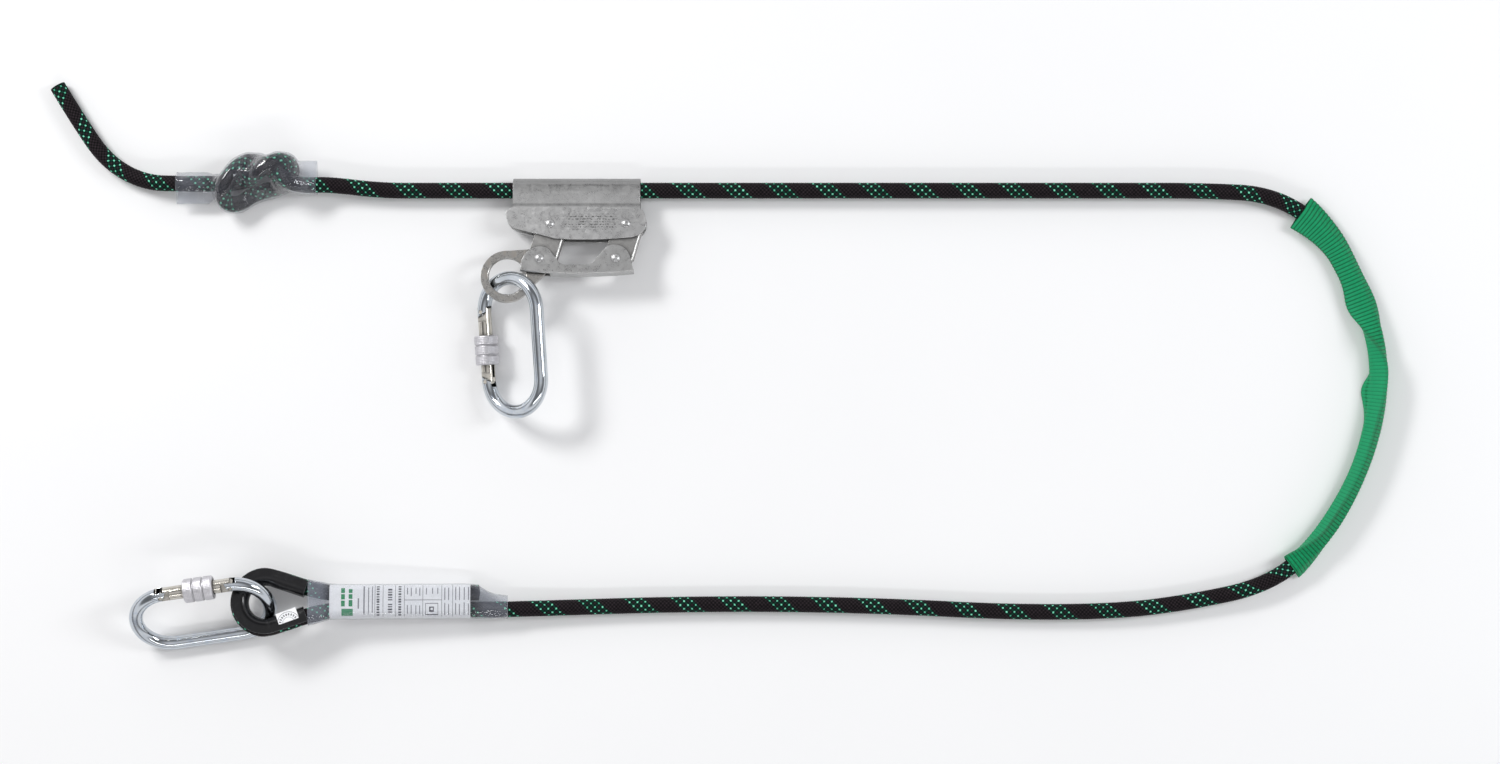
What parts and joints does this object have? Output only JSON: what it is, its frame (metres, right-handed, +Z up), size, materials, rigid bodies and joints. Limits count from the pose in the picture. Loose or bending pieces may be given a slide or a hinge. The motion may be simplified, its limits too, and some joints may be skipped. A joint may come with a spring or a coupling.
{
  "type": "rope grab lanyard",
  "caption": "Rope grab on an adjustable work-positioning lanyard with screw-lock carabiners, sewn eye, stop knot and webbing wear sleeve, laid flat.",
  "frame": {"origin": "on the floor under the middle of the fittings, the rope left out", "axes": "+X along the rope through the grab, away from the stop knot; +Z up from the floor"},
  "size_m": [1.0066, 0.4246, 0.0452],
  "materials": {
    "steel": "tumbled satin stainless steel",
    "ring_steel": "satin steel plate",
    "cam_steel": "hardened toothed steel",
    "rivet_steel": "domed steel rivets",
    "zinc": "bright zinc plate",
    "nickel": "nickel plate, slightly warm",
    "knurled": "matte knurled zinc",
    "spring_steel": "spring wire",
    "rope": "near-black braid with green dots",
    "webbing": "green ribbed webbing",
    "clear": "clear shrink film",
    "label": "white label stock",
    "thread": "white sewing thread",
    "thimble": "black moulded plastic"
  },
  "bodies": {
    "lanyard": {"rope_tail": "rope", "stop_knot": "rope", "knot_tube": "clear", "rope_main": "rope", "wear_sleeve": "webbing", "rope_eye": "rope", "thimble": "thimble", "clear_sleeve": "clear", "label": "label", "eye_stitching": "thread", "inspection_sticker": "label"},
    "grab": {"grab_housing": "steel", "front_upper_rivet": "rivet_steel", "rear_upper_rivet": "rivet_steel", "cam_spring": "spring_steel"},
    "front_link": {"front_link": "steel", "front_cam": "cam_steel"},
    "rear_link": {"rear_link": "steel", "rear_cam": "cam_steel"},
    "lower_bar": {"lower_bar": "steel", "front_lower_rivet": "rivet_steel", "rear_lower_rivet": "rivet_steel"},
    "ring_arm": {"ring_arm": "ring_steel"},
    "grab_carabiner": {"grab_carabiner_body": "zinc", "grab_carabiner_hinge_pin": "nickel", "grab_carabiner_latch_pin": "nickel"},
    "grab_carabiner_gate": {"grab_carabiner_gate": "nickel", "grab_carabiner_gate_spring": "spring_steel"},
    "grab_carabiner_sleeve": {"grab_carabiner_screw_sleeve": "knurled"},
    "eye_carabiner": {"eye_carabiner_body": "zinc", "eye_carabiner_hinge_pin": "nickel", "eye_carabiner_latch_pin": "nickel"},
    "eye_carabiner_gate": {"eye_carabiner_gate": "nickel", "eye_carabiner_gate_spring": "spring_steel"},
    "eye_carabiner_sleeve": {"eye_carabiner_screw_sleeve": "knurled"}
  },
  "joints": [
    {"name": "grab_slide", "type": "slide", "parent": "lanyard", "child": "grab", "axis": [1, 0, 0], "range_m": [-0.07, 0.38]},
    {"name": "front_link_pivot", "type": "hinge", "parent": "grab", "child": "front_link", "pos_m": [0.1211, 0.14084, 0.01337], "axis": [0, 0.1994, 0.9799], "range_deg": [-6, 22]},
    {"name": "rear_link_pivot", "type": "hinge", "parent": "grab", "child": "rear_link", "pos_m": [0.1777, 0.14084, 0.01337], "axis": [0, 0.1994, 0.9799], "range_deg": [-6, 22]},
    {"name": "lower_bar_pivot", "type": "hinge", "parent": "front_link", "child": "lower_bar", "pos_m": [0.1136, 0.11497, 0.01864], "axis": [0, 0.1994, 0.9799], "range_deg": [-22, 6]},
    {"name": "ring_arm_pivot", "type": "hinge", "parent": "lower_bar", "child": "ring_arm", "pos_m": [0.1136, 0.11497, 0.01864], "axis": [0, 0.1994, 0.9799], "range_deg": [-8, 12]},
    {"name": "grab_carabiner_swing", "type": "hinge", "parent": "ring_arm", "child": "grab_carabiner", "pos_m": [0.0896, 0.10213, 0.02125], "axis": [0, 0.1994, 0.9799], "range_deg": [-20, 6]},
    {"name": "eye_carabiner_swing", "type": "hinge", "parent": "lanyard", "child": "eye_carabiner", "pos_m": [-0.09, -0.1396, 0.0205], "axis": [0.0682, 0.2079, 0.9758], "range_deg": [-20, 20]},
    {"name": "grab_carabiner_gate_hinge", "type": "hinge", "parent": "grab_carabiner", "child": "grab_carabiner_gate", "pos_m": [0.07505, 0.02426, 0.00905], "axis": [0.558, 0.0371, -0.829], "range_deg": [0, 22], "stiffness_Nm_per_rad": 0.2, "springref_deg": -11.46},
    {"name": "grab_carabiner_sleeve_screw", "type": "slide", "parent": "grab_carabiner_gate", "child": "grab_carabiner_sleeve", "axis": [0.0663, -0.9978, 0], "range_m": [-0.014, 0]},
    {"name": "eye_carabiner_gate_hinge", "type": "hinge", "parent": "eye_carabiner", "child": "eye_carabiner_gate", "pos_m": [-0.11328, -0.1254, 0.0363], "axis": [0.0908, -0.6227, 0.7771], "range_deg": [0, 22], "stiffness_Nm_per_rad": 0.2, "springref_deg": -11.46},
    {"name": "eye_carabiner_sleeve_screw", "type": "slide", "parent": "eye_carabiner_gate", "child": "eye_carabiner_sleeve", "axis": [0.9895, 0.1444, 0], "range_m": [-0.014, 0]}
  ],
  "couplings": [
    {"joint": "rear_link_pivot", "follows": "front_link_pivot", "ratio": 1},
    {"joint": "lower_bar_pivot", "follows": "front_link_pivot", "ratio": -1}
  ]
}
